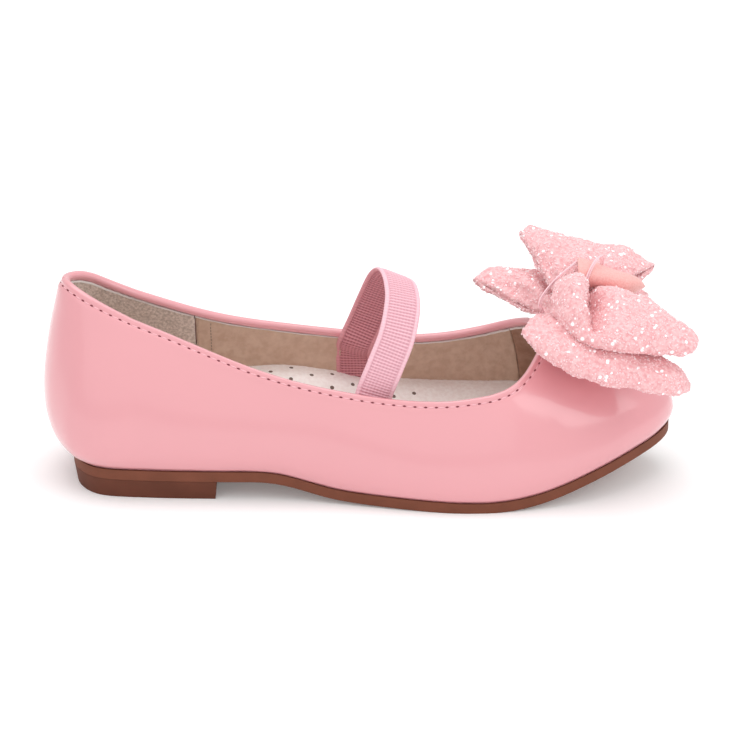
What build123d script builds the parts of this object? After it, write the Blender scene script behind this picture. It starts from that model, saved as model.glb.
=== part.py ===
"""Child's ballerina slipper, right foot: patent upper on a flat rubber sole, with an elastic
instep strap and a pinched cloth bow.  +X points to the toe, +Y to the medial side, +Z is up, and
the origin is the centre of the heel block's tread.  Sizes are in millimetres.

The upper is drawn on stations: upright planes that fan out round the heel and the toe and stand
square to the shoe in between.  On each station a layer is a strip between two depths under the
outer skin, so that the upper, its stiffeners and its linings nest in each other."""

import os
from math import cos, radians, sin

from build123d import *

os.makedirs("parts", exist_ok=True)

# Overall sizes
shoe_length = 200.0
ball_width = 69.0
topline_rise = 65.2

# Bottom unit
heel_block_height = 6.2
heel_block_inset = 1.0
heel_breast_x = 22.0
outsole_thickness = 3.4
lasting_margin = 9.0
board_thickness = 1.6
sock_thickness = 0.9
sole_extension = 0.4
shank_length = 78.0
shank_width = 12.0
shank_thickness = 0.9
shank_back = 8.0
shank_play = 0.4
filler_gap = 0.8
board_gap = 0.6

# Sheet materials of the upper
upper_thickness = 1.2
stiffener_thickness = 0.8
lining_thickness = 0.8
seam_gap = 0.12
layer_gap = 0.12
sole_gap = 0.25
binding_height = 2.6
binding_overhang = 0.15
counter_height = 30.0
puff_reach = 24.0
stiffener_foot = 3.2

# Elastic strap
strap_width = 11.6
strap_thickness = 1.3
strap_clearance = 0.35
tail_start = 11.0

# Bow
waist_x = 133.0
bow_pad_length = 22.0
bow_pad_width = 12.0
bow_pad_thickness = 1.8
ribbon_radius = 3.1
ribbon_wall = 0.8
thread_spread = 1.0
thread_radius = 0.35
thread_slack = 0.4

# Footbed
bed_inset = 3.8

# The last is drawn for a shoe 200 long and 69 wide, and graded from there.
grade_x = shoe_length / 200.0
grade_y = ball_width / 69.0
grade_z = topline_rise / 65.2


def graded(points):
    """Points of the last, brought to this shoe's length, width and height."""
    return [(p[0] * grade_x, p[1] * grade_y, p[2] * grade_z) for p in points]


# Plan of the sole, from the back of the heel round the lateral side, the toe and the medial side
sole_plan = [
    (-23.8, 0), (-22.6, -12), (-17.5, -19.6), (-6, -22.9), (20, -24.3), (48, -25.6), (74, -30.6),
    (101, -34.4), (122, -31.6), (143, -23.4), (155, -14.2), (162, -6.8), (165, 2.5), (162.6, 10.6),
    (156.5, 17), (145, 23.2), (124, 31.2), (104, 33.4), (84, 29.6), (64, 23), (44, 20), (18, 21.4),
    (-6, 22.3), (-17.5, 19.2), (-22.6, 12),
]
with BuildLine() as sole_edge:
    Spline(*graded([(x, y, 0) for x, y in sole_plan]), periodic=True)

# The topline in space, in the same order
topline_points = [
    (-27, 0, 65.2), (-22.4, -8, 64.4), (-14, -11.8, 60.8), (3, -14.6, 54), (20, -17.2, 47.2),
    (40, -20.8, 40.4), (62, -23.9, 36.2), (86, -26.3, 34.3), (103, -26.6, 35.8), (114, -22.6, 38.4),
    (120.6, -13, 42.8), (123.7, 0, 46.2), (121, 13, 46.2), (114.6, 22, 42.6), (104, 26.6, 38.2),
    (88, 26, 35.9), (62, 22.9, 38.6), (40, 20.9, 41.9), (20, 17.4, 46.9), (3, 14.8, 53.2),
    (-14, 11.8, 60.6), (-22.4, 8, 64.4),
]
with BuildLine() as topline:
    Spline(*graded(topline_points), periodic=True)

# Rise of the sole's side view over its lowest point: flat under the heel, then the waist as a
# share of the heel block's height, the tread, and the toe spring
waist_start = 34.0 * grade_x
waist_points = [(43, 0.88), (50, 0.58), (59, 0.27), (74, 0.1)]
spring_points = [(95, 0), (111, 0.1), (123, 1.8), (140, 6.8), (155, 10.9), (165, 13.6), (180, 17.6)]
with BuildLine() as rise_line:
    Spline(
        (waist_start, 0, heel_block_height),
        *[(x * grade_x, 0, rise * heel_block_height) for x, rise in waist_points],
        *[(x * grade_x, 0, rise) for x, rise in spring_points],
        tangents=[(1, 0, 0), (1, 0, 0.25)],
    )


def rise_at(x):
    """Height of the sole's side view over its lowest point, at x."""
    if x <= waist_start:
        return heel_block_height
    curve = rise_line.line.edges()[0]
    low, high = 0.0, 1.0
    for _ in range(30):
        middle = (low + high) / 2
        if curve.position_at(middle).X < x:
            low = middle
        else:
            high = middle
    return curve.position_at(low).Z


def meet(curve, base, heading):
    """Point where an upright plane through base, facing heading, cuts the curve ahead."""
    across = Vector(-heading.Y, heading.X, 0)
    steps = 160
    spots = [(curve @ (i / steps) - base) for i in range(steps + 1)]
    for i in range(steps):
        a, b = spots[i].dot(across), spots[i + 1].dot(across)
        if a * b <= 0 and a != b and spots[i].dot(heading) > 0:
            low, high = i / steps, (i + 1) / steps
            for _ in range(24):
                middle = (low + high) / 2
                if (curve @ middle - base).dot(across) * a > 0:
                    low = middle
                else:
                    high = middle
            return curve @ low
    raise ValueError("the curve isn't met")


# Fullness of the upper: how far its section leaves the feather line outwards and upwards, and how
# far it leaves the topline outwards and downwards, at places round the shoe.
# (place, out at the sole, up at the sole, out at the top, down at the top)
fullness = [
    (0.0, 14.5, 5.5, 6.5, 24), (0.5, 12.5, 6, 11.5, 22), (1.0, 7, 9, 9, 16), (1.5, 5, 8, 5.5, 12),
    (2.0, 4, 8, 5, 8), (2.34, 4.5, 8, 8, 5.5), (2.67, 6, 9, 14, 4), (3.0, 9.5, 11, 22, 2.5),
]
medial_waist_fullness = 4.0


def full_at(place, medial):
    """Fullness at a place: 0 heel, 1 heel seat's front, 2 ball, 3 toe."""
    for (a, *from_values), (b, *to_values) in zip(fullness, fullness[1:]):
        if a <= place <= b:
            share = (place - a) / (b - a)
            values = [p + (q - p) * share for p, q in zip(from_values, to_values)]
    if medial and 1 < place < 2:
        values[0] += medial_waist_fullness * sin(radians(180 * (place - 1)))
    return values


heel_centre = -3.0 * grade_x
toe_centre = 105.0 * grade_x


class Station:
    """An upright plane of the upper, its section's curve and its place on the sole."""

    def __init__(self, place, side):
        if place < 1:
            turn = radians(90 * place)
            base = Vector(heel_centre, 0, 0)
            heading = Vector(-cos(turn), side * sin(turn), 0)
        elif place <= 2:
            base = Vector(heel_centre + (toe_centre - heel_centre) * (place - 1), 0, 0)
            heading = Vector(0, side, 0)
        else:
            turn = radians(90 * (place - 2))
            base = Vector(toe_centre, 0, 0)
            heading = Vector(sin(turn), side * cos(turn), 0)
        self.base = base
        self.heading = heading
        self.plane = Plane(origin=base, x_dir=heading, z_dir=Vector(heading.Y, -heading.X, 0))
        foot = meet(sole_edge.line.edges()[0], base, heading)
        head = meet(topline.line.edges()[0], base, heading)
        self.reach = (foot - base).dot(heading) - sole_extension
        out_low, up_low, out_high, down_high = full_at(place, side > 0)
        foot_rise = self.sole_height(self.reach)
        head_reach = (head - base).dot(heading)
        self.knots = [
            (self.reach, foot_rise),
            (self.reach + out_low * grade_y, foot_rise + up_low * grade_z),
            (head_reach + out_high * grade_y, head.Z - down_high * grade_z),
            (head_reach, head.Z),
        ]
        self.span = ((self.reach - head_reach) ** 2 + (head.Z - foot_rise) ** 2) ** 0.5 * 1.1

    def sole_height(self, reach):
        """Height of the sole's upper face at a distance from the station's base."""
        return outsole_thickness + rise_at((self.base + self.heading * reach).X)

    def skin(self, share, depth):
        """A point of the section, a share of the way up, at a depth under the outer skin."""
        a, b, c, d = self.knots
        s = 1 - share
        point = [
            s**3 * a[i] + 3 * s * s * share * b[i] + 3 * s * share**2 * c[i] + share**3 * d[i]
            for i in (0, 1)
        ]
        run = [
            s * s * (b[i] - a[i]) + 2 * s * share * (c[i] - b[i]) + share**2 * (d[i] - c[i])
            for i in (0, 1)
        ]
        length = (run[0] ** 2 + run[1] ** 2) ** 0.5
        return (point[0] - depth * run[1] / length, point[1] + depth * run[0] / length)

    def run(self, depth, above_sole, below_top, count=7):
        """Points up the section at one depth, between two distances from its ends."""
        low = above_sole / self.span
        high = 1 - below_top / self.span
        return [self.skin(low + (high - low) * i / (count - 1), depth) for i in range(count)]


def strip_profile(station, outer, inner, above_sole, below_top):
    """Sketch of a layer between two depths, on one station."""
    outside = station.run(outer, above_sole, below_top)
    inside = station.run(inner, above_sole, below_top)
    with BuildSketch(station.plane) as profile:
        with BuildLine():
            Spline(*outside)
            Line(outside[-1], inside[-1])
            Spline(*reversed(inside))
            Line(inside[0], outside[0])
        make_face()
    return profile.sketch


def lasted_profile(station, outer, inner, below_top):
    """Sketch of the upper, which turns in under the board as a lasting margin."""
    outside = station.run(outer, 0, below_top)
    inside = station.run(inner, inner - outer, below_top)
    edge = station.reach - lasting_margin
    low = station.sole_height(edge) + sole_gap
    outside[0] = (outside[0][0], outside[0][1] + sole_gap)
    inside[0] = (inside[0][0], inside[0][1] + sole_gap)
    with BuildSketch(station.plane) as profile:
        with BuildLine():
            Spline(*outside)
            Line(outside[-1], inside[-1])
            Spline(*reversed(inside))
            Polyline(inside[0], (edge, low + inner - outer), (edge, low), outside[0])
        make_face()
    return profile.sketch


def binding_profile(station, inner):
    """Sketch of the rolled edge along the topline."""
    low = 1 - binding_height / station.span
    start = station.skin(low, -binding_overhang)
    side = station.skin(1, -binding_overhang)
    crown = station.skin(1 + 0.4 * binding_height / station.span, inner / 2)
    other_side = station.skin(1, inner)
    end = station.skin(low, inner)
    with BuildSketch(station.plane) as profile:
        with BuildLine():
            Line(start, side)
            ThreePointArc(side, crown, other_side)
            Polyline(other_side, end, start)
        make_face()
    return profile.sketch


heel_places = [i / 8 for i in range(9)]
side_places = [1 + i / 12 for i in range(1, 13)]
toe_places = [2 + i / 10 for i in range(1, 11)]
lateral = [Station(place, -1) for place in heel_places + side_places + toe_places]
medial = [Station(place, 1) for place in heel_places + side_places + toe_places]

# The upper's two ends meet at the back seam, a seam gap apart.
seam_turn = seam_gap / 50
ring = [Station(seam_turn, -1)] + lateral[1:] + medial[-2:0:-1] + [Station(seam_turn, 1)]

stiffener_depth = upper_thickness + layer_gap
lining_depth = stiffener_depth + stiffener_thickness + layer_gap
stack = lining_depth + lining_thickness
upper_end = binding_height + layer_gap
lining_start = 4.0
lining_seam_gap = 0.006


def save(part, name):
    """Label the finished piece and write it."""
    part.label = name
    export_step(part, f"parts/{name}.step")


# Bottom unit -------------------------------------------------------------------------------

def plan_view(inset, height=-10.0):
    """Plan of the sole at a height, drawn in by an inset."""
    edge = sole_edge.line.edges()[0]
    count = 56
    points = []
    for i in range(count):
        along = edge % (i / count)
        points.append(edge @ (i / count) + Vector(-along.Y, along.X, 0) * inset)
    with BuildSketch(Plane.XY.offset(height)) as view:
        with BuildLine():
            Spline(*[(p.X, p.Y) for p in points], periodic=True)
        make_face()
    return view.sketch


def side_view(low, high):
    """Side view of a plate that follows the sole between two heights over its lower face."""
    start, end = -45.0 * grade_x, 175.0 * grade_x
    count = 24
    stops = [start + (end - start) * i / count for i in range(count + 1)]
    below = [(x, rise_at(x) + low) for x in stops]
    above = [(x, rise_at(x) + high) for x in reversed(stops)]
    with BuildSketch(Plane.XZ.offset(-60)) as view:
        with BuildLine():
            Spline(*below)
            Line(below[-1], above[0])
            Spline(*above)
            Line(above[-1], below[0])
        make_face()
    return view.sketch


with BuildPart() as outsole:
    extrude(plan_view(0), amount=60)
    extrude(side_view(0, outsole_thickness), amount=120, mode=Mode.INTERSECT)
save(outsole.part, "outsole")

with BuildPart() as heel_block:
    for height, inset in ((0, heel_block_inset), (heel_block_height, 0)):
        with BuildSketch(Plane.XY.offset(height)):
            add(plan_view(inset, 0))
            with Locations((heel_breast_x * grade_x - inset / 2, 0)):
                Rectangle(200, 200, align=(Align.MAX, Align.CENTER), mode=Mode.INTERSECT)
    loft(ruled=True)
save(heel_block.part, "heel_block")

margin_top = outsole_thickness + sole_gap + upper_thickness + sole_gap
board_top = margin_top + layer_gap + board_thickness

with BuildPart() as shank:
    with BuildSketch():
        with Locations(((heel_centre + shank_length / 2 - shank_back), 0)):
            RectangleRounded(shank_length, shank_width, shank_width / 2 - 0.5)
    extrude(amount=60)
    extrude(side_view(margin_top - shank_thickness, margin_top), amount=120, mode=Mode.INTERSECT)
save(shank.part, "shank")

with BuildPart() as bottom_filler:
    extrude(plan_view(lasting_margin + sole_extension + filler_gap), amount=60)
    extrude(side_view(outsole_thickness + layer_gap, margin_top), amount=120, mode=Mode.INTERSECT)
    with BuildSketch():
        with Locations(((heel_centre + shank_length / 2 - shank_back), 0)):
            RectangleRounded(
                shank_length + shank_play, shank_width + shank_play, shank_width / 2 - 0.3
            )
    extrude(amount=60, mode=Mode.SUBTRACT)
save(bottom_filler.part, "bottom_filler")

with BuildPart() as insole_board:
    extrude(plan_view(sole_extension + stack + board_gap), amount=60)
    extrude(side_view(margin_top + layer_gap, board_top), amount=120, mode=Mode.INTERSECT)
save(insole_board.part, "insole_board")


# Upper ---------------------------------------------------------------------------------------

with BuildPart() as upper:
    loft(
        [lasted_profile(station, 0, upper_thickness, upper_end) for station in ring], ruled=True
    )
save(upper.part, "upper")

with BuildPart() as topline_binding:
    loft([binding_profile(station, stack) for station in ring], ruled=True)
save(topline_binding.part, "topline_binding")


# The heel pieces run round the back from the medial to the lateral side and the toe pieces round
# the front, with the quarter linings between them.
heel_wrap = medial[13:0:-1] + lateral[:14]
toe_wrap = lateral[16:] + medial[-2:15:-1]

with BuildPart() as heel_counter:
    profiles = [
        strip_profile(s, stiffener_depth, stiffener_depth + stiffener_thickness, stiffener_foot,
                      max(s.span - counter_height, upper_end))
        for s in heel_wrap
    ]
    loft(profiles, ruled=True)
save(heel_counter.part, "heel_counter")

with BuildPart() as toe_puff:
    profiles = [
        strip_profile(s, stiffener_depth, stiffener_depth + stiffener_thickness, stiffener_foot,
                      max(s.span - puff_reach, upper_end))
        for s in toe_wrap[5:-5]
    ]
    loft(profiles, ruled=True)
save(toe_puff.part, "toe_puff")

with BuildPart() as heel_lining:
    profiles = [strip_profile(s, lining_depth, stack, lining_start, upper_end) for s in heel_wrap]
    loft(profiles, ruled=True)
save(heel_lining.part, "heel_lining")

with BuildPart() as vamp_lining:
    profiles = [strip_profile(s, lining_depth, stack, lining_start, upper_end) for s in toe_wrap]
    loft(profiles, ruled=True)
save(vamp_lining.part, "vamp_lining")

for name, side in (("quarter_lining_lateral", -1), ("quarter_lining_medial", 1)):
    first, last = side_places[4] + lining_seam_gap, side_places[7] - lining_seam_gap
    places = [first + (last - first) * i / 4 for i in range(5)]
    with BuildPart() as quarter_lining:
        loft(
            [
                strip_profile(Station(p, side), lining_depth, stack, lining_start, upper_end)
                for p in places
            ],
            ruled=True,
        )
    save(quarter_lining.part, name)

# Footbed --------------------------------------------------------------------------------------

# Heights of the bed over the board, along the sole: (x, lateral edge, middle, medial edge)
bed_form = [
    (-32, 5.0, 4.0, 5.0), (-14, 5.6, 3.4, 6.4), (4, 6.0, 3.2, 9.0), (22, 6.2, 3.6, 12.5),
    (38, 6.4, 4.4, 15.5), (54, 6.6, 5.4, 17.5), (68, 6.6, 5.0, 15.0), (84, 6.4, 3.8, 11.5),
    (104, 6.0, 3.2, 10.0), (124, 5.6, 3.0, 9.0), (142, 4.8, 2.8, 6.5), (160, 4.0, 2.6, 4.6),
]


def bed_profile(x, heights, low, high):
    """Cross-section of the footbed at x, between its underside or face and a height over it."""
    floor = rise_at(x) + board_top + layer_gap
    middle = max(-19 * grade_x, min(x, 150 * grade_x))
    edge = sole_edge.line.edges()[0]
    wide = [
        abs(meet(edge, Vector(middle, 0, 0), Vector(0, side, 0)).Y) for side in (-1, 1)
    ]
    lateral_rise, middle_rise, medial_rise = heights
    face = [
        (-1.3 * wide[0], floor + lateral_rise * 1.3),
        (-wide[0], floor + lateral_rise),
        (-0.45 * wide[0], floor + middle_rise),
        (0.3 * wide[1], floor + middle_rise),
        (wide[1], floor + medial_rise),
        (1.3 * wide[1], floor + medial_rise * 1.25),
    ]
    top = [(y, z + high) for y, z in face]
    bottom = [(y, z + low) for y, z in face] if low is not None else None
    with BuildSketch(Plane(origin=(x, 0, 0), x_dir=(0, 1, 0), z_dir=(1, 0, 0))) as profile:
        with BuildLine():
            Spline(*top)
            if bottom:
                Line(top[-1], bottom[-1])
                Spline(*reversed(bottom))
                Line(bottom[0], top[0])
            else:
                Polyline(top[-1], (top[-1][0], floor - 6), (top[0][0], floor - 6), top[0])
        make_face()
    return profile.sketch


with BuildPart() as bed_blank:
    loft([bed_profile(x * grade_x, rest, None, 0) for x, *rest in bed_form])
with BuildPart() as footbed:
    extrude(plan_view(bed_inset), amount=70)
    extrude(side_view(board_top + layer_gap, 60), amount=120, mode=Mode.INTERSECT)
    add(bed_blank.part, mode=Mode.INTERSECT)
save(footbed.part, "footbed")

with BuildPart() as sock_blank:
    loft([bed_profile(x * grade_x, rest, layer_gap, sock_thickness) for x, *rest in bed_form])
with BuildPart() as sock_lining:
    extrude(plan_view(bed_inset), amount=70)
    add(sock_blank.part, mode=Mode.INTERSECT)
save(sock_lining.part, "sock_lining")

# Elastic strap --------------------------------------------------------------------------------

# The strap swings about the line between the two places where it leaves the topline.
strap_foot_lateral = Vector(71 * grade_x, -20.0 * grade_y, 33.5 * grade_z)
strap_foot_medial = Vector(65.4 * grade_x, 18.4 * grade_y, 35.6 * grade_z)
strap_axis = (strap_foot_medial - strap_foot_lateral).normalized()

# Middle line of the arch, from the lateral to the medial foot
arch_points = graded(
    [
        (74.6, -20.2, 43.6), (78.2, -17.6, 52.6), (80, -11.6, 60.2), (79.8, -5.4, 63.7),
        (78.6, 0.6, 65.1), (76.8, 6.6, 63.8), (74.6, 12.2, 59.5), (71.6, 16.4, 51.2), (68.4, 18.4, 42.6),
    ]
)
band_lean = Vector(0.93, 0, -0.37)


def band_profile(spot, along):
    """Cross-section of the band where it passes a spot, square to its run."""
    across = (band_lean - along * band_lean.dot(along)).normalized()
    with BuildSketch(Plane(origin=spot, x_dir=across, z_dir=along)) as profile:
        RectangleRounded(strap_width, strap_thickness, strap_thickness * 0.45)
    return profile.sketch


with BuildLine() as arch:
    Spline(strap_foot_lateral, *arch_points, strap_foot_medial)
arch_run = arch.line.edges()[0]
tab_share = 0.07

with BuildPart() as elastic_strap:
    shares = [tab_share + (1 - 2 * tab_share) * i / 16 for i in range(17)]
    loft([band_profile(arch_run @ s, (arch_run % s)) for s in shares])
    for foot, share in (
        (strap_foot_lateral, tab_share),
        (strap_foot_medial, 1 - tab_share),
    ):
        upward = ((arch_run @ share) - foot).normalized()
        face = Plane(origin=foot - strap_axis * strap_thickness / 2, x_dir=upward.cross(strap_axis),
                     z_dir=strap_axis)
        with BuildSketch(face):
            Circle(strap_width / 2)
            Rectangle(strap_width, ((arch_run @ share) - foot).length + 0.6,
                      align=(Align.CENTER, Align.MIN))
        extrude(amount=strap_thickness)
save(elastic_strap.part, "elastic_strap")

# The band's two tails are stitched to the linings below the topline; each ends in a hollow curve
# that clears the band's round foot.
tail_reach = strap_width / 2 + strap_clearance

for name, side, foot in (
    ("strap_tail_lateral", -1, strap_foot_lateral),
    ("strap_tail_medial", 1, strap_foot_medial),
):
    places = [
        1 + (foot.X + shift * strap_width / 2 - heel_centre) / (toe_centre - heel_centre)
        for shift in (-1, -0.5, 0, 0.5, 1)
    ]
    with BuildPart() as tail:
        profiles = []
        for place in places:
            station = Station(place, side)
            depth = stack + layer_gap
            profiles.append(
                strip_profile(station, depth, depth + strap_thickness, tail_start, upper_end + 1)
            )
        loft(profiles, ruled=True)
        with BuildSketch(Plane(origin=foot - strap_axis * 15, x_dir=(1, 0, 0), z_dir=strap_axis)):
            Circle(tail_reach)
        extrude(amount=30, mode=Mode.SUBTRACT)
    save(tail.part, name)

# Bow ------------------------------------------------------------------------------------------

# The bow is two pinched strips of cloth, one on the other.  Each is drawn from its lateral to its
# medial end: (x, y, z of the middle, width along the shoe, thickness, slope down to the toe)
lower_strip = [
    (143, -27.5, 43.5, 50, 7.5, 15), (142, -19, 47.5, 40, 9, 14), (136.5, -8, 50, 20, 6, 10),
    (133, 0, 50.6, 11, 4.5, 8), (131, 7, 52, 20, 6, 8), (129, 16, 54.5, 42, 8, 8),
    (128, 24, 54.4, 54, 6, 8),
]
upper_strip = [
    (152, -26, 54.5, 40, 8, 6), (150, -18, 57, 36, 12, 6), (141, -8, 59.5, 22, 11, 8),
    (134, 0, 59.5, 13, 9, 10), (135, 8, 62, 22, 9, 14), (137, 16, 65, 40, 8, 15),
    (138, 24, 66, 45, 6, 15),
]


def strip_of_cloth(stops):
    """A pinched strip, through its sections from the lateral to the medial end."""
    sections = []
    for x, y, z, width, thickness, slope in stops:
        lean = Vector(cos(radians(slope)), 0, -sin(radians(slope)))
        spot = Vector(x * grade_x, y * grade_y, z * grade_z)
        with BuildSketch(Plane(origin=spot, x_dir=lean, z_dir=(0, 1, 0))) as section:
            Ellipse(width / 2, thickness / 2)
        sections.append(section.sketch)
    return sections


with BuildPart() as bow_lower_strip:
    sections = strip_of_cloth(lower_strip)
    for one, other in zip(sections, sections[1:]):
        loft([one, other], ruled=True)
save(bow_lower_strip.part, "bow_lower_strip")

with BuildPart() as bow_upper_strip:
    sections = strip_of_cloth(upper_strip)
    for one, other in zip(sections, sections[1:]):
        loft([one, other], ruled=True)
save(bow_upper_strip.part, "bow_upper_strip")


def vamp_point(x):
    """Plane that lies on the vamp's middle line at x."""
    toe = lateral[-1]
    share = 1.0
    while toe.skin(share, 0)[0] < x - toe_centre:
        share -= 0.005
    ahead, behind = toe.skin(share - 0.05, 0), toe.skin(share + 0.05, 0)
    slope = Vector(ahead[0] - behind[0], 0, ahead[1] - behind[1]).normalized()
    reach, height = toe.skin(share, 0)
    return Plane(origin=(toe_centre + reach, 0, height), x_dir=slope, z_dir=slope.cross(Vector(0, 1, 0)))


pad_seat = vamp_point(waist_x * grade_x)

with BuildPart() as bow_pad:
    with BuildSketch(pad_seat.offset(layer_gap * 2)):
        Ellipse(bow_pad_length / 2, bow_pad_width / 2)
    extrude(amount=bow_pad_thickness)
save(bow_pad.part, "bow_pad")

ribbon_start = Vector(135 * grade_x, 2.6 * grade_y, 69.4 * grade_z)
ribbon_end = Vector(155.5 * grade_x, 4.4 * grade_y, 61.2 * grade_z)
with BuildPart() as centre_ribbon:
    with BuildSketch(Plane(origin=ribbon_start, x_dir=(0, 1, 0), z_dir=ribbon_end - ribbon_start)):
        Circle(ribbon_radius)
        Circle(ribbon_radius - ribbon_wall, mode=Mode.SUBTRACT)
    extrude(amount=(ribbon_end - ribbon_start).length)
save(centre_ribbon.part, "centre_ribbon")

# Two turns of thread hold both strips at the waist.
waist_low = lower_strip[3][2] * grade_z - lower_strip[3][4] / 2
waist_high = upper_strip[3][2] * grade_z + upper_strip[3][4] / 2
turn_height = (waist_high - waist_low) / 2 + thread_radius + thread_slack
turn_width = upper_strip[3][3] / 2 + thread_radius + 7 * thread_slack
turn_lean = radians(upper_strip[3][5])
turn_corners = [
    (1, 0), (0.94, 0.72), (0.5, 1), (0, 1.04), (-0.5, 1), (-0.94, 0.72),
    (-1, 0), (-0.94, -0.72), (-0.5, -1), (0, -1.04), (0.5, -1), (0.94, -0.72),
]

for name, shift in (("tie_thread_front", -thread_spread), ("tie_thread_back", thread_spread)):
    middle = (waist_x * grade_x + thread_slack, shift, (waist_high + waist_low + thread_slack) / 2)
    turn = Plane(origin=middle, x_dir=(cos(turn_lean), 0, -sin(turn_lean)), z_dir=(0, 1, 0))
    with BuildPart() as thread:
        with BuildLine() as route:
            Spline(
                *[
                    turn.from_local_coords(Vector(turn_width * a, turn_height * b, 0))
                    for a, b in turn_corners
                ],
                periodic=True,
            )
        start = route.line.edges()[0]
        with BuildSketch(Plane(origin=start @ 0, z_dir=start % 0)):
            Circle(thread_radius)
        sweep(path=start)
    save(thread.part, name)
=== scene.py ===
"""Child's ballerina slipper, right foot: patent upper, rubber sole, elastic instep strap and a
pinched bow of glitter cloth.  The frame holds the sizes; the pieces here are made round it."""

from math import atan2, cos, pi, radians, sin

import bmesh
import bpy
import numpy as np
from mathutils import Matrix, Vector, noise
from mathutils.bvhtree import BVHTree


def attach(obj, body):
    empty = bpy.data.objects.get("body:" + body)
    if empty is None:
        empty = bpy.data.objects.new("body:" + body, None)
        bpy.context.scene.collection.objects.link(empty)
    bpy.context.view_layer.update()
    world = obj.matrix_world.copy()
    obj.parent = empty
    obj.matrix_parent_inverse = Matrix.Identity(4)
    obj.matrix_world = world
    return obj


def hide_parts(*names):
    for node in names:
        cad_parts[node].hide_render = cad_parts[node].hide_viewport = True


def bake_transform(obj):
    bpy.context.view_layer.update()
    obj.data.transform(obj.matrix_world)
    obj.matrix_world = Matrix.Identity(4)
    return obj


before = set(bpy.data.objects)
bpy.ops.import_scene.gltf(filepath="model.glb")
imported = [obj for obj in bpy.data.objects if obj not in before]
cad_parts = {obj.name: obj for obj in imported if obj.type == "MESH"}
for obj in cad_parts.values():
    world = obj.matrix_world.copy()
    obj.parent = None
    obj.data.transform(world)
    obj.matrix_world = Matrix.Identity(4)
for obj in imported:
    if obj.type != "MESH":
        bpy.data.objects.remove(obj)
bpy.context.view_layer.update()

mm = 0.001
scene = bpy.context.scene

# Camera, light and floor ----------------------------------------------------------------------
# The shoe stands on a white sweep in a soft light tent: one broad light over it, a larger one in
# front of the lateral side and a small one at the toe, for the highlights of the patent skin.

camera_target = Vector((69.8, 0, 34.2)) * mm
camera_distance = 1.2
camera_elevation = radians(23)
camera = bpy.data.objects.new("camera", bpy.data.cameras.new("camera"))
camera.data.lens = 185.0
camera.data.sensor_width = 36.0
camera.data.clip_start = 0.05
away = Vector((0, -cos(camera_elevation), sin(camera_elevation)))
camera.location = camera_target + away * camera_distance
camera.rotation_euler = (pi / 2 - camera_elevation, 0, 0)
scene.collection.objects.link(camera)
scene.camera = camera
scene.view_settings.view_transform = "Standard"


light_aim = Vector((0.07, 0, 0.03))
for name, place, width, height, power in (
    ("tent_top", (0.0, 0.1, 0.9), 1.0, 0.8, 4.2),
    ("tent_front", (-0.2, -1.5, 0.9), 2.4, 1.4, 4.2),
    ("tent_side", (0.95, -0.5, 0.75), 0.7, 0.5, 2.2),
):
    light = bpy.data.lights.new(name, "AREA")
    light.shape = "RECTANGLE"
    light.size, light.size_y = width, height
    light.energy = power
    lamp = bpy.data.objects.new(name, light)
    lamp.location = place
    lamp.rotation_euler = (light_aim - Vector(place)).to_track_quat("-Z", "Y").to_euler()
    scene.collection.objects.link(lamp)

tent_strength = 0.75
world = bpy.data.worlds.new("tent")
world.use_nodes = True
world.node_tree.nodes["Background"].inputs["Color"].default_value = (1, 1, 1, 1)
world.node_tree.nodes["Background"].inputs["Strength"].default_value = tent_strength
scene.world = world


def mesh_object(name, points, faces, smooth=True):
    """A piece from points in metres and faces."""
    mesh = bpy.data.meshes.new(name)
    mesh.from_pydata([tuple(p) for p in points], [], faces)
    mesh.validate()
    if smooth:
        mesh.shade_smooth()
    piece = bpy.data.objects.new(name, mesh)
    scene.collection.objects.link(piece)
    return piece


def plain_material(name, colour, roughness=0.5, **sockets):
    """A material with one Principled BSDF and its sockets set by name."""
    material = bpy.data.materials.new(name)
    material.use_nodes = True
    shader = material.node_tree.nodes["Principled BSDF"]
    shader.inputs["Base Color"].default_value = (*colour, 1)
    shader.inputs["Roughness"].default_value = roughness
    for socket, value in sockets.items():
        shader.inputs[socket.replace("_", " ")].default_value = value
    return material


floor_half = 3.0
sweep = mesh_object(
    "floor",
    [(-floor_half, -floor_half, 0), (floor_half, -floor_half, 0), (floor_half, floor_half, 0),
     (-floor_half, floor_half, 0)],
    [(0, 1, 2, 3)],
    smooth=False,
)
sweep.data.materials.append(plain_material(
    "sweep_paper", (0.9, 0.9, 0.9), 0.9, Emission_Color=(1, 1, 1, 1), Emission_Strength=0.14,
))

# The form of the shoe -------------------------------------------------------------------------
# Upright stations fan out round the heel and the toe and stand square to the shoe in between.
# On each one the outer skin is read off the frame, from the sole's edge to the topline's crest.

heel_centre, toe_centre = -3.0, 105.0
heel_steps, side_steps, toe_steps = 8, 12, 10
half_ring = heel_steps + side_steps + toe_steps
ring = 2 * half_ring
levels = 15
beside_seam = 0.08
farthest_reach = 75.0
probe_height = 0.15
probes = 40


def skin_of(*nodes):
    """The surface of some CAD nodes, ready to be probed."""
    points, faces = [], []
    for node in nodes:
        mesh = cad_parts[node].data
        first = len(points)
        points += [v.co.copy() for v in mesh.vertices]
        faces += [[first + i for i in p.vertices] for p in mesh.polygons]
    return BVHTree.FromPolygons(points, faces)


def station(step):
    """Base point and heading of a station, counted from the heel round the lateral side."""
    step = step % ring
    step = step if step else beside_seam
    side = -1 if step <= half_ring else 1
    along = step if step <= half_ring else ring - step
    if along < heel_steps:
        turn = pi / 2 * along / heel_steps
        return Vector((heel_centre, 0, 0)), Vector((-cos(turn), side * sin(turn), 0))
    if along <= heel_steps + side_steps:
        share = (along - heel_steps) / side_steps
        return (Vector((heel_centre + (toe_centre - heel_centre) * share, 0, 0)),
                Vector((0, side, 0)))
    turn = pi / 2 * (along - heel_steps - side_steps) / toe_steps
    return Vector((toe_centre, 0, 0)), Vector((sin(turn), side * cos(turn), 0))


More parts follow.
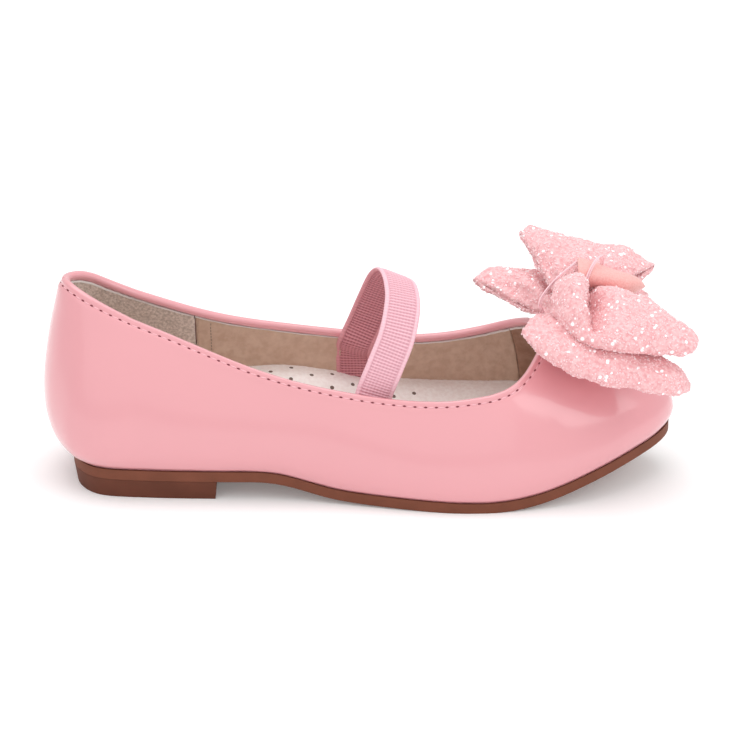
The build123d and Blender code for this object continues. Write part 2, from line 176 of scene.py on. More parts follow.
sole_skin = skin_of("outsole")
binding_skin = skin_of("topline_binding")
outer_skin = skin_of("upper", "topline_binding")
down = Vector((0, 0, -1))


def height_of(skin, spot):
    """Height of a surface under a spot in plan, or None beside it."""
    hit = skin.ray_cast(Vector((spot.x * mm, spot.y * mm, probe_height)), down)[0]
    return None if hit is None else hit.z / mm


def read_station(step):
    """Points of the outer skin on one station, from the sole's edge to the crest.

    The edge is found by halving, the crest as the middle of the ridge, and the skin between
    them by rays towards a point well inside.
    """
    base, heading = station(step)
    near, far = 4.0, farthest_reach
    for _ in range(22):
        middle = (near + far) / 2
        if height_of(sole_skin, base + heading * middle) is None:
            far = middle
        else:
            near = middle
    foot = (near - 0.4, height_of(sole_skin, base + heading * (near - 0.6)))
    reaches = [4 + 0.1 * i for i in range(700)]
    heights = [height_of(binding_skin, base + heading * reach) or 0 for reach in reaches]
    top = max(heights)
    ridge = [reach for reach, height in zip(reaches, heights) if height > top - 0.06]
    crest = ((ridge[0] + ridge[-1]) / 2, top)
    centre = ((foot[0] + crest[0]) / 2 - 13, (foot[1] + crest[1]) / 2 - 1)
    anchor = base + heading * centre[0] + Vector((0, 0, centre[1]))
    low = atan2(foot[1] - centre[1], foot[0] - centre[0])
    high = atan2(crest[1] - centre[1], crest[0] - centre[0])
    points = [foot]
    for i in range(1, probes):
        angle = low + (high - low) * i / probes
        ray = heading * cos(angle) + Vector((0, 0, sin(angle)))
        hit = outer_skin.ray_cast((anchor + ray * 90) * mm, -ray)[0]
        if hit is not None:
            spot = hit / mm - base
            points.append((spot.dot(heading), spot.z))
    points.append(crest)
    points = np.array(points)
    walked = np.concatenate([[0], np.cumsum(np.hypot(*np.diff(points, axis=0).T))])
    stops = np.linspace(0, walked[-1], levels)
    reach = np.interp(stops, walked, points[:, 0])
    height = np.interp(stops, walked, points[:, 1])
    return [base + heading * r + Vector((0, 0, h)) for r, h in zip(reach, height)]


form = np.array([[tuple(p) for p in read_station(step)] for step in range(ring)])
below, above = 2 * form[:, :1] - form[:, 1:2], 2 * form[:, -1:] - form[:, -2:-1]
form = np.concatenate([below, form, above], axis=1)


def spline_weights(share):
    """Weights of the four nearest points of a smooth spline, and of its slope."""
    s = share
    value = np.stack([
        -s**3 + 2 * s**2 - s, 3 * s**3 - 5 * s**2 + 2, -3 * s**3 + 4 * s**2 + s, s**3 - s**2,
    ])
    slope = np.stack([
        -3 * s**2 + 4 * s - 1, 9 * s**2 - 10 * s, -9 * s**2 + 8 * s + 1, 3 * s**2 - 2 * s,
    ])
    return value / 2, slope / 2


def skin_at(step, share, depth=0.0):
    """Points (mm) of the shoe's form: round the ring, a share of the way up, and at a depth."""
    step, share, depth = np.broadcast_arrays(np.asarray(step, float), share, depth)
    row = np.clip(share, 0, 1) * (levels - 1)
    i = np.floor(step).astype(int)
    j = np.minimum(np.floor(row).astype(int), levels - 2)
    across, across_slope = spline_weights(step - i)
    up, up_slope = spline_weights(row - j)
    point = along = rise = 0
    for a in range(4):
        for b in range(4):
            knot = form[(i + a - 1) % ring, j + b]
            point = point + knot * (across[a] * up[b])[..., None]
            along = along + knot * (across_slope[a] * up[b])[..., None]
            rise = rise + knot * (across[a] * up_slope[b])[..., None]
    normal = np.cross(along, rise)
    normal /= np.linalg.norm(normal, axis=-1, keepdims=True) + 1e-12
    return point - normal * depth[..., None]


spans = np.linalg.norm(np.diff(skin_at(np.arange(ring)[:, None], np.linspace(0, 1, 60)[None]),
                               axis=1), axis=-1).sum(1)


def span_at(step):
    """Length of the skin from the sole to the crest, in mm."""
    return np.interp(np.asarray(step, float) % ring, np.arange(ring + 1),
                     np.append(spans, spans[0]))


def ring_sheet(name, steps, section, closed, materials, slots=None, wobble=None):
    """A layer of the shoe: a closed section carried round the ring.

    Each point of the section is (share of the way up, mm from there, depth under the skin).
    """
    steps = np.asarray(steps, float)
    share, shift, depth = np.array(section, float).T
    shares = share[None] + shift[None] / span_at(steps)[:, None]
    depths = np.broadcast_to(depth[None], shares.shape).copy()
    if wobble is not None:
        depths += wobble(steps[:, None], shares)
    points = skin_at(steps[:, None], shares, depths) * mm
    rows, columns = points.shape[:2]
    faces, face_slots = [], []
    for i in range(rows if closed else rows - 1):
        for j in range(columns):
            k, m = (i + 1) % rows, (j + 1) % columns
            faces.append((i * columns + j, k * columns + j, k * columns + m, i * columns + m))
            face_slots.append(slots[j] if slots else 0)
    if not closed:
        faces.append(tuple(range(columns)))
        faces.append(tuple((rows - 1) * columns + j for j in reversed(range(columns))))
        face_slots += [0, 0]
    piece = mesh_object(name, points.reshape(-1, 3), faces)
    for material in materials:
        piece.data.materials.append(material)
    piece.data.polygons.foreach_set("material_index", face_slots[: len(piece.data.polygons)])
    outward(piece)
    return piece


def outward(piece):
    """Turn a closed piece's faces outwards."""
    work = bmesh.new()
    work.from_mesh(piece.data)
    bmesh.ops.recalc_face_normals(work, faces=work.faces)
    work.to_mesh(piece.data)
    work.free()


def run(start, end, count):
    """Evenly spaced stops."""
    return [start + (end - start) * i / count for i in range(count + 1)]


# Upper ----------------------------------------------------------------------------------------
# One piece of pink patent leather, closed by a seam at the back and lasted under the board.  Its
# top edge is rolled over a cord and stitched through the linings, 2.5 mm under the crest.

roll_radius = 1.25
stitch_drop = 2.55
upper_thickness = 1.2
seam_depth = 0.4
seam_reach = 0.045


def new_group(name, kind, inputs, outputs):
    """A node group with its named sockets (name, type and, if it has one, value)."""
    group = bpy.data.node_groups.new(name, kind)
    for direction, rows in (("INPUT", inputs), ("OUTPUT", outputs)):
        for title, socket, *value in rows:
            made = group.interface.new_socket(
                title, in_out=direction, socket_type="NodeSocket" + socket
            )
            if value:
                made.default_value = value[0]
    return group, group.nodes.new("NodeGroupInput"), group.nodes.new("NodeGroupOutput")


def grain_group():
    """Shader group: noise on the object's own coordinates, as a value and as a bumped normal."""
    group, given, made = new_group(
        "grain", "ShaderNodeTree",
        [("Scale", "Float", 500.0), ("Detail", "Float", 3.0), ("Stretch", "Vector", (1, 1, 1)),
         ("Depth", "Float", 0.0002)],
        [("Value", "Float"), ("Normal", "Vector")],
    )
    nodes, links = group.nodes, group.links
    place = nodes.new("ShaderNodeTexCoord")
    stretch = nodes.new("ShaderNodeVectorMath")
    stretch.operation = "MULTIPLY"
    field = nodes.new("ShaderNodeTexNoise")
    bump = nodes.new("ShaderNodeBump")
    links.new(place.outputs["Object"], stretch.inputs[0])
    links.new(given.outputs["Stretch"], stretch.inputs[1])
    links.new(stretch.outputs[0], field.inputs["Vector"])
    links.new(given.outputs["Scale"], field.inputs["Scale"])
    links.new(given.outputs["Detail"], field.inputs["Detail"])
    links.new(field.outputs["Fac"], bump.inputs["Height"])
    links.new(given.outputs["Depth"], bump.inputs["Distance"])
    links.new(field.outputs["Fac"], made.inputs["Value"])
    links.new(bump.outputs["Normal"], made.inputs["Normal"])
    return group


grain = grain_group()


def mixed_colour(material, factor, low, high):
    """Drive a material's base colour from low to high by a node's output."""
    nodes, links = material.node_tree.nodes, material.node_tree.links
    mix = nodes.new("ShaderNodeMix")
    mix.data_type = "RGBA"
    mix.inputs["A"].default_value = (*low, 1)
    mix.inputs["B"].default_value = (*high, 1)
    links.new(factor, mix.inputs["Factor"])
    links.new(mix.outputs["Result"], nodes["Principled BSDF"].inputs["Base Color"])


def grained(material, scale, depth, colours=None, stretch=(1, 1, 1), detail=3.0):
    """Give a material the grain's bump and, if asked, two colours mixed by its value."""
    nodes, links = material.node_tree.nodes, material.node_tree.links
    effect = nodes.new("ShaderNodeGroup")
    effect.node_tree = grain
    effect.inputs["Scale"].default_value = scale
    effect.inputs["Detail"].default_value = detail
    effect.inputs["Stretch"].default_value = stretch
    effect.inputs["Depth"].default_value = depth
    links.new(effect.outputs["Normal"], nodes["Principled BSDF"].inputs["Normal"])
    if colours:
        spread = nodes.new("ShaderNodeMapRange")
        spread.inputs["From Min"].default_value = 0.35
        spread.inputs["From Max"].default_value = 0.65
        links.new(effect.outputs["Value"], spread.inputs["Value"])
        mixed_colour(material, spread.outputs["Result"], *colours)
    return material


patent = plain_material("patent_leather", (0.77, 0.335, 0.365), 0.36, Coat_Weight=1.0,
                        Coat_Roughness=0.13)
grained(patent, 45, 0.0006, detail=1.0)

roll = [
    (1, -roll_radius + roll_radius * sin(a), roll_radius - 0.12 - (roll_radius + 0.12) * cos(a))
    for a in (radians(15 * i) for i in range(13))
]
upper_section = (
    [(share, 0, 0) for share in run(0, 0.86, 30)]
    + [(1, -4.4, 0), (1, -3.6, 0), (1, -3.0, 0.05), (1, -stitch_drop, 0.3), (1, -2.1, 0.06),
       (1, -1.7, -0.08)]
    + roll
    + [(1, -2.3, 2.3), (1, -3.2, 2.0), (1, -3.4, upper_thickness)]
    + [(share, 0, upper_thickness) for share in run(0.86, 0.02, 8)]
)
ring_stops = [0.12 * i / 6 for i in range(-6, 6)] + run(0.12, ring - 0.12, 380)[:-1]


def back_seam(steps, shares):
    """The closed seam at the back: a fine valley down the heel."""
    away = (steps + ring / 2) % ring - ring / 2
    return seam_depth * np.exp(-((away / seam_reach) ** 2)) * np.ones_like(shares)


upper = ring_sheet("upper_skin", ring_stops, upper_section, True, [patent], wobble=back_seam)
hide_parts("upper", "topline_binding")
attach(upper, "shoe")

# Stitching ------------------------------------------------------------------------------------
# One row of pink thread runs round the topline; between its stitches, which are set in the
# leather, dark grains stand for the needle's holes, their colour painted shade.

stitch_pitch = 3.3
stitch_size = (2.1, 0.5, 0.42)
stitch_depth = 0.22
needle_size = (1.0, 0.62, 0.24)
needle_depth = 0.2


def grains_on(group, given, made, points, grain_mesh, turn, size):
    """End a geometry group: a grain on every point, made real, smoothed and painted."""
    nodes, links = group.nodes, group.links
    place = nodes.new("GeometryNodeInstanceOnPoints")
    real = nodes.new("GeometryNodeRealizeInstances")
    smooth = nodes.new("GeometryNodeSetShadeSmooth")
    paint = nodes.new("GeometryNodeSetMaterial")
    links.new(points, place.inputs["Points"])
    links.new(grain_mesh.outputs["Mesh"], place.inputs["Instance"])
    links.new(turn.outputs[0], place.inputs["Rotation"])
    links.new(size.outputs[0], place.inputs["Scale"])
    for earlier, later in ((place, real), (real, smooth), (smooth, paint), (paint, made)):
        links.new(earlier.outputs[0], later.inputs[0])
    links.new(given.outputs["Material"], paint.inputs["Material"])


def rice_group():
    """Geometry group: a small ellipsoid on every point, turned and sized by its attributes."""
    group, given, made = new_group(
        "rice", "GeometryNodeTree",
        [("Points", "Geometry"), ("Material", "Material")], [("Grains", "Geometry")],
    )
    nodes, links = group.nodes, group.links
    ball = nodes.new("GeometryNodeMeshUVSphere")
    ball.inputs["Segments"].default_value = 10
    ball.inputs["Rings"].default_value = 6
    ball.inputs["Radius"].default_value = 0.5
    turns = []
    for name, axis in (("up", "Z"), ("along", "X")):
        read = nodes.new("GeometryNodeInputNamedAttribute")
        read.data_type = "FLOAT_VECTOR"
        read.inputs["Name"].default_value = name
        turn = nodes.new("FunctionNodeAlignRotationToVector")
        turn.axis = axis
        if turns:
            turn.pivot_axis = "Z"
            links.new(turns[-1].outputs[0], turn.inputs["Rotation"])
        links.new(read.outputs[0], turn.inputs["Vector"])
        turns.append(turn)
    size = nodes.new("GeometryNodeInputNamedAttribute")
    size.data_type = "FLOAT_VECTOR"
    size.inputs["Name"].default_value = "size"
    grains_on(group, given, made, given.outputs["Points"], ball, turns[-1], size)
    return group


rice = rice_group()


def applied(piece):
    """The piece with its modifiers made part of its mesh."""
    graph = bpy.context.evaluated_depsgraph_get()
    piece.data = bpy.data.meshes.new_from_object(piece.evaluated_get(graph), depsgraph=graph)
    piece.modifiers.clear()
    return piece


def through_nodes(piece, group, **given):
    """Run a piece's mesh through a geometry group and keep what comes out."""
    modifier = piece.modifiers.new("made", "NODES")
    modifier.node_group = group
    for item in group.interface.items_tree:
        if item.in_out == "INPUT" and item.name in given:
            modifier[item.identifier] = given[item.name]
    bpy.context.view_layer.update()
    return applied(piece)


def grains_at(name, places, alongs, ups, sizes, material):
    """Small ellipsoids at places (mm), with the way they lie and their three sizes (mm)."""
    piece = mesh_object(name, np.asarray(places) * mm, [], smooth=False)
    for title, values in (("along", alongs), ("up", ups), ("size", np.asarray(sizes) * mm)):
        field = piece.data.attributes.new(title, "FLOAT_VECTOR", "POINT")
        field.data.foreach_set("vector", np.asarray(values, np.float32).ravel())
    return through_nodes(piece, rice, Material=material)


def even_steps(share_of, pitch, first=0.0, last=None):
    """Steps of the ring that stand a pitch (mm) apart along a line on the skin."""
    last = ring if last is None else last
    fine = np.linspace(first, last, 2400)
    line = skin_at(fine, share_of(fine))
    walked = np.concatenate([[0], np.cumsum(np.linalg.norm(np.diff(line, axis=0), axis=1))])
    count = int(round(walked[-1] / pitch))
    return np.interp((np.arange(count) + 0.5) * walked[-1] / count, walked, fine)


def frames_on(steps, share_of, depth):
    """Places on the skin, with the direction along the ring and the outward normal."""
    shares = share_of(steps)
    places = skin_at(steps, shares, depth)
    ahead = skin_at(steps + 0.02, share_of(steps + 0.02), depth)
    alongs = ahead - places
    ups = skin_at(steps, shares, depth - 1) - places
    return places, alongs, ups


def stitch_line(steps):
    """Share of the stitch row on each step."""
    return 1 - stitch_drop / span_at(steps)


stitch_thread = plain_material("stitch_thread", (0.86, 0.46, 0.5), 0.6)
# Dark grains between the stitches: their colour is painted shade in the needle's holes.
needle_hole_shade = plain_material("needle_hole_shade", (0.2, 0.03, 0.045), 0.8)
stops = even_steps(stitch_line, stitch_pitch)
between = (stops + np.append(stops[1:], stops[0] + ring)) / 2
top_stitches = grains_at(
    "topline_stitches", *frames_on(stops, stitch_line, stitch_depth),
    [stitch_size] * len(stops), stitch_thread,
)
stitch_holes = grains_at(
    "topline_needle_holes", *frames_on(between, stitch_line, needle_depth),
    [needle_size] * len(stops), needle_hole_shade,
)
for piece in (top_stitches, stitch_holes):
    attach(piece, "shoe")

# Linings --------------------------------------------------------------------------------------
# Suede round the heel, lining leather along the sides and leather in the toe.  The toe leather's
# colour is darkened as painted shade deep in the toe, and the side leather's a little for it too.
# Their top edges are cut raw against the rolled edge, so the pale core of the leather shows.

lining_top = 2.7
lining_skin = 2.05
lining_thickness = 0.75
lining_face = lining_skin + lining_thickness
heel_front = 9.9
toe_back = 22.6
butt_gap = 0.04
seam_stitch = (1.1, 0.3, 0.2)

suede = grained(plain_material("suede_lining", (0.6, 0.5, 0.44), 0.95), 1100, 0.0003,
                ((0.52, 0.42, 0.36), (0.8, 0.68, 0.6)), detail=6.0)
# The side leather's colours are a little darkened, and the toe leather's much more, as painted
# shade inside the toe.
side_leather = grained(plain_material("leather_lining", (0.6, 0.42, 0.31), 0.7), 420, 0.0003,
                       ((0.56, 0.38, 0.28), (0.64, 0.46, 0.35)))
shade_darkened_toe_leather = grained(plain_material("vamp_lining", (0.36, 0.2, 0.13), 0.75), 420, 0.0003,
                      ((0.32, 0.17, 0.11), (0.4, 0.23, 0.16)))
raw_edge = grained(plain_material("raw_edge", (0.8, 0.75, 0.71), 0.95), 900, 0.0003)


def ragged(steps, shares):
    """Small unevenness of leather pulled over the last."""
    return 0.12 * np.sin(steps * 5.1 + 9 * shares) * np.sin(steps * 2.3 + 2)


def creased(steps, shares):
    """The medial side leather has a few soft creases over the arch."""
    low = np.clip(1.15 - 1.5 * shares, 0, 1)
    crease = np.sin(steps * 9 + 16 * shares) + 0.6 * np.sin(steps * 17 - 11 * shares)
    return ragged(steps, shares) - 0.3 * low * np.abs(crease)


def lining(name, node, steps, material, wobble=ragged):
    """One lining, between two steps of the ring, hung from the rolled edge to the footbed."""
    shares = run(0.88, 0.06, 26)
    section = [(1, -lining_top, lining_skin + 0.1), (1, -lining_top + 0.15, lining_face - 0.3),
               (1, -lining_top - 0.1, lining_face + 0.05), (1, -lining_top - 0.55, lining_face)]
    section += [(share, 0, lining_face) for share in shares]
    section += [(share, 0, lining_skin) for share in reversed(shares)]
    slots = [1, 1, 1] + [0] * (len(section) - 3)
    piece = ring_sheet(name, steps, section, False, [material, raw_edge], slots, wobble)
    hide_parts(node)
    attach(piece, "shoe")
    return piece


lining("heel_suede", "heel_lining", run(-heel_front, heel_front, 110), suede)
lining("side_leather_lateral", "quarter_lining_lateral",
       run(heel_front + butt_gap, toe_back, 90), side_leather)
lining("side_leather_medial", "quarter_lining_medial",
       run(-toe_back, -heel_front - butt_gap, 90), side_leather, creased)
lining("shade_darkened_toe_leather", "vamp_lining",
       run(toe_back + butt_gap, ring - toe_back - butt_gap, 90), shade_darkened_toe_leather)

lining_stitches = []
for side in (-1, 1):
    shares = np.arange(0.3, 0.9, 0.034)
    steps = np.full_like(shares, side * (heel_front + 0.55))
    places = skin_at(steps, shares, lining_face + 0.05)
    lining_stitches.append((places, skin_at(steps, shares + 0.01, lining_face + 0.05) - places,
                            skin_at(steps, shares, lining_face + 1) - places))
places, alongs, ups = (np.concatenate(part) for part in zip(*lining_stitches))
seam_stitches = grains_at("lining_stitches", places, alongs, ups, [seam_stitch] * len(places),
                          plain_material("lining_thread", (0.3, 0.24, 0.2), 0.8))
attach(seam_stitches, "shoe")

# Footbed --------------------------------------------------------------------------------------
# A foam bed that rises into the arch on the medial side, under a perforated sock of pale leather.
# The holes are punched in staggered rows under the arch and the ball; each is a dark disc on the
# sock, its colour painted shade.

sock_thickness = 0.9
foam_thickness = 2.4
hole_size = (1.5, 1.5, 0.12)
hole_rows = 6.6
first_row = 38
widest_hole = 22
bed_rings = 24
bed_steps = 200
sock_skin = skin_of("sock_lining")
sock_leather = grained(plain_material("sock_leather", (0.9, 0.84, 0.81), 0.7), 800, 0.00012,
                       ((0.88, 0.8, 0.77), (0.95, 0.9, 0.87)), detail=5.0)
foam = grained(plain_material("foam", (0.75, 0.7, 0.6), 0.9), 1500, 0.0002)


def sock_height(x, y):
    """Height of the sock at a place in plan; beside the CAD sock, that of its nearest point."""
    x = min(max(x, -20), 145)
    hit = height_of(sock_skin, Vector((x, y, 0)))
    while hit is None:
        y *= 0.97
        hit = height_of(sock_skin, Vector((x, y, 0)))
    return hit


rows = []
for i in range(bed_steps):
    step = ring * i / bed_steps
    base, _ = station(step)
    wall = skin_at(step, np.linspace(0.02, 0.9, 80), lining_face - 0.15)
    gaps = [p[2] - sock_height(p[0], p[1]) for p in wall]
    over = next(k for k, gap in enumerate(gaps) if gap > 0)
    edge = Vector(wall[over])
    rows.append([edge.lerp(Vector((base.x, base.y, edge.z)), (j / bed_rings) ** 1.3)
                 for j in range(bed_rings + 1)])
bed = np.array([[(p.x, p.y, sock_height(p.x, p.y)) for p in row] for row in rows])
for _ in range(8):
    bed[..., 2] = (2 * bed[..., 2] + np.roll(bed[..., 2], 1, 0) + np.roll(bed[..., 2], -1, 0)) / 4
    bed[:, 1:-1, 2] = (2 * bed[:, 1:-1, 2] + bed[:, 2:, 2] + bed[:, :-2, 2]) / 4
bed[..., 2] += 0.7 * np.exp(-np.linspace(0, 8, bed_rings + 1))[None]


def bed_layer(name, drop, thickness, material):
    """A layer of the bed, its face a drop under the sock's."""
    faces, width = [], bed_rings + 1
    for i in range(bed_steps):
        k = (i + 1) % bed_steps
        faces += [(i * width + j, k * width + j, k * width + j + 1, i * width + j + 1)
                  for j in range(bed_rings)]
    piece = mesh_object(name, (bed.reshape(-1, 3) - (0, 0, drop)) * mm, faces)
    work = bmesh.new()
    work.from_mesh(piece.data)
    bmesh.ops.remove_doubles(work, verts=work.verts, dist=0.0003)
    bmesh.ops.recalc_face_normals(work, faces=work.faces)
    work.to_mesh(piece.data)
    work.free()
    if sum(p.normal.z * p.area for p in piece.data.polygons) < 0:
        piece.data.flip_normals()
    wall = piece.modifiers.new("wall", "SOLIDIFY")
    wall.thickness = thickness * mm
    wall.offset = -1
    applied(piece)
    piece.data.materials.clear()
    piece.data.materials.append(material)
    return piece


sock = bed_layer("sock", 0, sock_thickness, sock_leather)
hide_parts("sock_lining")
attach(sock, "shoe")
foam_bed = bed_layer("foam_bed", sock_thickness + 0.05, foam_thickness, foam)
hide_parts("footbed")
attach(foam_bed, "shoe")

sock_face = BVHTree.FromPolygons([v.co.copy() for v in sock.data.vertices],
                                 [list(p.vertices) for p in sock.data.polygons])
places, ups = [], []
for i in range(9):
    for j in range(-4, 5):
        x, y = first_row + hole_rows * i, (j + 0.5 * (i % 2)) * hole_rows * 0.95
        hit, normal, *_ = sock_face.ray_cast(Vector((x, y, 60)) * mm, down)
        if hit is not None and abs(y) < widest_hole:
            places.append(hit / mm - normal * 0.02)
            ups.append(normal)
# Dark discs on the sock stand for the holes; their colour is painted shade.
holes = grains_at("sock_perforations", places, [(1, 0, 0)] * len(places), ups,
                  [hole_size] * len(places),
                  plain_material("perforation_shade", (0.16, 0.11, 0.09), 0.9))
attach(holes, "shoe")

# Elastic strap --------------------------------------------------------------------------------
# A 12 mm woven elastic: ribs across and cords along, with a smooth selvedge beyond a groove on
# each side.  Its colour is darkened between the threads and in the grooves as painted shade.
# Its ends are stitched inside the linings.

strap_width = 11.6
strap_thickness = 1.25
selvedge = 1.5
rib_pitch = 1.0
rib_depth = 0.26
cord_pitch = 1.05
groove_depth = 0.38
groove_width = 0.22
band_lean = np.array([0.93, 0, -0.37])
band_rows, band_columns = 760, 49
tail_drops = (19, 13, 8)
tail_depth = lining_face + strap_thickness / 2 + 0.1
strap_feet = ((71, -20, 33.5), (65.4, 18.4, 35.6))
arch_points = (
    (74.6, -20.2, 43.6), (78.2, -17.6, 52.6), (80, -11.6, 60.2), (79.8, -5.4, 63.7),
    (78.6, 0.6, 65.1), (76.8, 6.6, 63.8), (74.6, 12.2, 59.5), (71.6, 16.4, 51.2),
    (68.4, 18.4, 42.6),
)


def between_knots(a, b, c, d, t):
    """Place a share t of the way from b to c, on a smooth curve through four knots."""
    return 0.5 * (2 * b + (c - a) * t + (2 * a - 5 * b + 4 * c - d) * t * t
                  + (3 * b - a - 3 * c + d) * t**3)


def smooth_line(points, count, closed=False):
    """Points at equal distances along a smooth curve through given ones, and its length."""
    points = np.asarray(points, float)
    n = len(points)
    fine = []
    for i in range(n if closed else n - 1):
        near = [(i + k) % n if closed else min(max(i + k, 0), n - 1) for k in (-1, 0, 1, 2)]
        fine += [between_knots(*points[near], t) for t in np.linspace(0, 1, 24, endpoint=False)]
    fine.append(points[0] if closed else points[-1])
    fine = np.array(fine)
    walked = np.concatenate([[0], np.cumsum(np.linalg.norm(np.diff(fine, axis=0), axis=1))])
    stops = np.linspace(0, walked[-1], count, endpoint=not closed)
    line = np.stack([np.interp(stops, walked, fine[:, k]) for k in range(3)], axis=1)
    return line, walked[-1]


def wall_step(x, side):
    """Step of the ring beside a place x along the shoe."""
    step = heel_steps + side_steps * (x - heel_centre) / (toe_centre - heel_centre)
    return step if side < 0 else ring - step


def tail_points(foot, side):
    """Middle of a tail, from its lower end to the strap's foot."""
    step = wall_step(foot[0] - 1.0, side)
    return [tuple(skin_at(step, 1 - drop / span_at(step), tail_depth)) for drop in tail_drops]


strap_line = [*tail_points(strap_feet[0], -1), strap_feet[0], *arch_points, strap_feet[1],
              *reversed(tail_points(strap_feet[1], 1))]
strap_middle, strap_length = smooth_line(strap_line, band_rows)
tangent = np.gradient(strap_middle, axis=0)
tangent /= np.linalg.norm(tangent, axis=1, keepdims=True)
across = band_lean - tangent * (tangent @ band_lean)[:, None]
across /= np.linalg.norm(across, axis=1, keepdims=True)
outward_face = np.cross(across, tangent)
columns = np.linspace(-strap_width / 2, strap_width / 2, band_columns)
inside = np.abs(columns) < strap_width / 2 - selvedge
walked = np.linspace(0, strap_length, len(strap_middle))
ribs = np.cos(2 * pi * walked / rib_pitch)[:, None]
cords = np.cos(2 * pi * columns / cord_pitch)[None]
from_groove = np.abs(columns) - strap_width / 2 + selvedge
groove = -groove_depth * np.exp(-((from_groove / groove_width) ** 2))[None]
edge_round = np.sqrt(np.clip(1 - (np.abs(columns) / (strap_width / 2)) ** 14, 0, 1))[None]
relief = np.where(inside[None], rib_depth * ribs * (0.6 + 0.4 * cords), 0.05 * ribs) + groove
half_height = (strap_thickness / 2 + relief) * edge_round
# Painted shade: the band's colour is darkened in the gaps between ribs and cords and in the
# grooves.
gaps = np.sqrt((0.5 - 0.5 * ribs) * (0.35 + 0.65 * (0.5 - 0.5 * cords)))
painted_lightness = np.where(inside[None], 1 - 0.8 * gaps, 0.9 - 0.15 * (0.5 - 0.5 * ribs)) + 0.6 * groove
face_points = [
    strap_middle[:, None] + across[:, None] * columns[None, :, None]
    + outward_face[:, None] * (turn * half_height)[..., None]
    for turn in (1, -1)
]
loop_points = np.concatenate([face_points[0], face_points[1][:, -2:0:-1]], axis=1)
count, width = loop_points.shape[:2]
faces = []
for i in range(count - 1):
    here, there = i * width, (i + 1) * width
    for j in range(width):
        k = (j + 1) % width
        faces.append((here + j, here + k, there + k, there + j))
faces += [tuple(reversed(range(width))), tuple((count - 1) * width + j for j in range(width))]
strap = mesh_object("elastic_band", loop_points.reshape(-1, 3) * mm, faces)
outward(strap)
# The painted shade is kept on the mesh as a point attribute that the materials read.
weave_shade = strap.data.attributes.new("weave_shade", "FLOAT", "POINT")
weave_shade.data.foreach_set("value", np.concatenate([painted_lightness, painted_lightness[:, -2:0:-1]], axis=1).ravel())


def woven(name, low, high, roughness):
    """Cloth painted darker between its ribs and cords than on them, as shade, after the mesh's
    attribute of painted shade.
    """
    material = grained(plain_material(name, high, roughness), 1400, 0.0001)
    height = material.node_tree.nodes.new("ShaderNodeAttribute")
    height.attribute_name = "weave_shade"
    mixed_colour(material, height.outputs["Fac"], low, high)
    return material


strap.data.materials.append(woven("elastic", (0.56, 0.22, 0.28), (0.96, 0.61, 0.68), 0.75))
strap.data.materials.append(woven("elastic_inside", (0.26, 0.05, 0.07), (0.8, 0.36, 0.4), 0.85))
slots = [0 if (k % width) < len(columns) - 1 else 1 for k in range((count - 1) * width)] + [0, 0]
strap.data.polygons.foreach_set("material_index", slots)
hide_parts("elastic_strap", "strap_tail_lateral", "strap_tail_medial")
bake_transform(strap)

# Bow ------------------------------------------------------------------------------------------
# Two strips of thick glitter cloth, looped out to both sides, one on the other, and pinched at
# the waist.  Round sequins and small glitter are stuck all over the cloth.

cloth_thickness = 1.7
lower_waist = (133, 0, 51.5)
upper_waist = (134.5, 0, 60)
upper_near_waist = (139, 0, 60)
pinch_lower, pinch_upper = 11.0, 13.0
loop_wide, loop_long = 84, 96
loop_turn = 0.94
pleat_height = 0.9
pleats = 6.5
puff_waves = ((1.3, 0.13), (0.6, 0.42))
nap_waves = ((0.3, 1.1), (0.16, 2.6))

# Ends of the loops, from the heel side to the toe side: (x, y, z of the fold, half the loop's
# opening, rise of its middle over a straight line)
lower_near = (
    (117.5, -18, 54.5, 2.4, 0), (120, -23, 52, 4.4, 2), (127, -27, 49, 5.2, 3),
    (135, -29.5, 46, 5.4, 2), (147, -31, 42.8, 5.4, 1), (158, -31, 41.2, 5.4, 1),
    (165.5, -29, 39.8, 5.2, 0), (167.8, -25.5, 39.4, 3.6, -1),
)
upper_near = (
    (126.5, -12, 60, 3, 5), (130, -19, 58.5, 6.5, 7), (134.5, -23.5, 56.5, 7, 6.5),
    (138, -25, 54.5, 2.6, -5), (147, -27.5, 54, 4.6, 1), (158.5, -28, 52.6, 5.4, 3),
    (167.5, -25.5, 51.6, 4.8, 2), (170.8, -20.5, 52.6, 2.6, 1),
)
upper_far = (
    (117.5, 20.5, 72.5, 0.9, 2), (121, 23, 72.5, 2.6, 1), (128, 24, 70, 3.8, 1),
    (137, 24, 67, 4.4, 1), (146, 24, 65, 4.4, 1), (154, 22.5, 63.6, 3.8, 0),
    (160, 19, 61.5, 1.6, -1),
)
lower_far = (
    (103.5, 12, 59.5, 0.9, 0), (107, 17, 60.5, 2.6, 1), (115, 21, 59, 4.2, 1),
    (126, 23, 57.5, 4.8, 1), (138, 23, 56, 5, 0), (150, 20, 54.5, 4.2, 0), (158, 13, 54, 2, 0),
)


def spread(knots, stops):
    """Smooth values between the knots of a loop's end."""
    knots = np.asarray(knots, float)
    place = np.asarray(stops) * (len(knots) - 1)
    i = np.minimum(place.astype(int), len(knots) - 2)
    near = [knots[np.clip(i + k, 0, len(knots) - 1)] for k in (-1, 0, 1, 2)]
    return between_knots(*near, (place - i)[:, None])


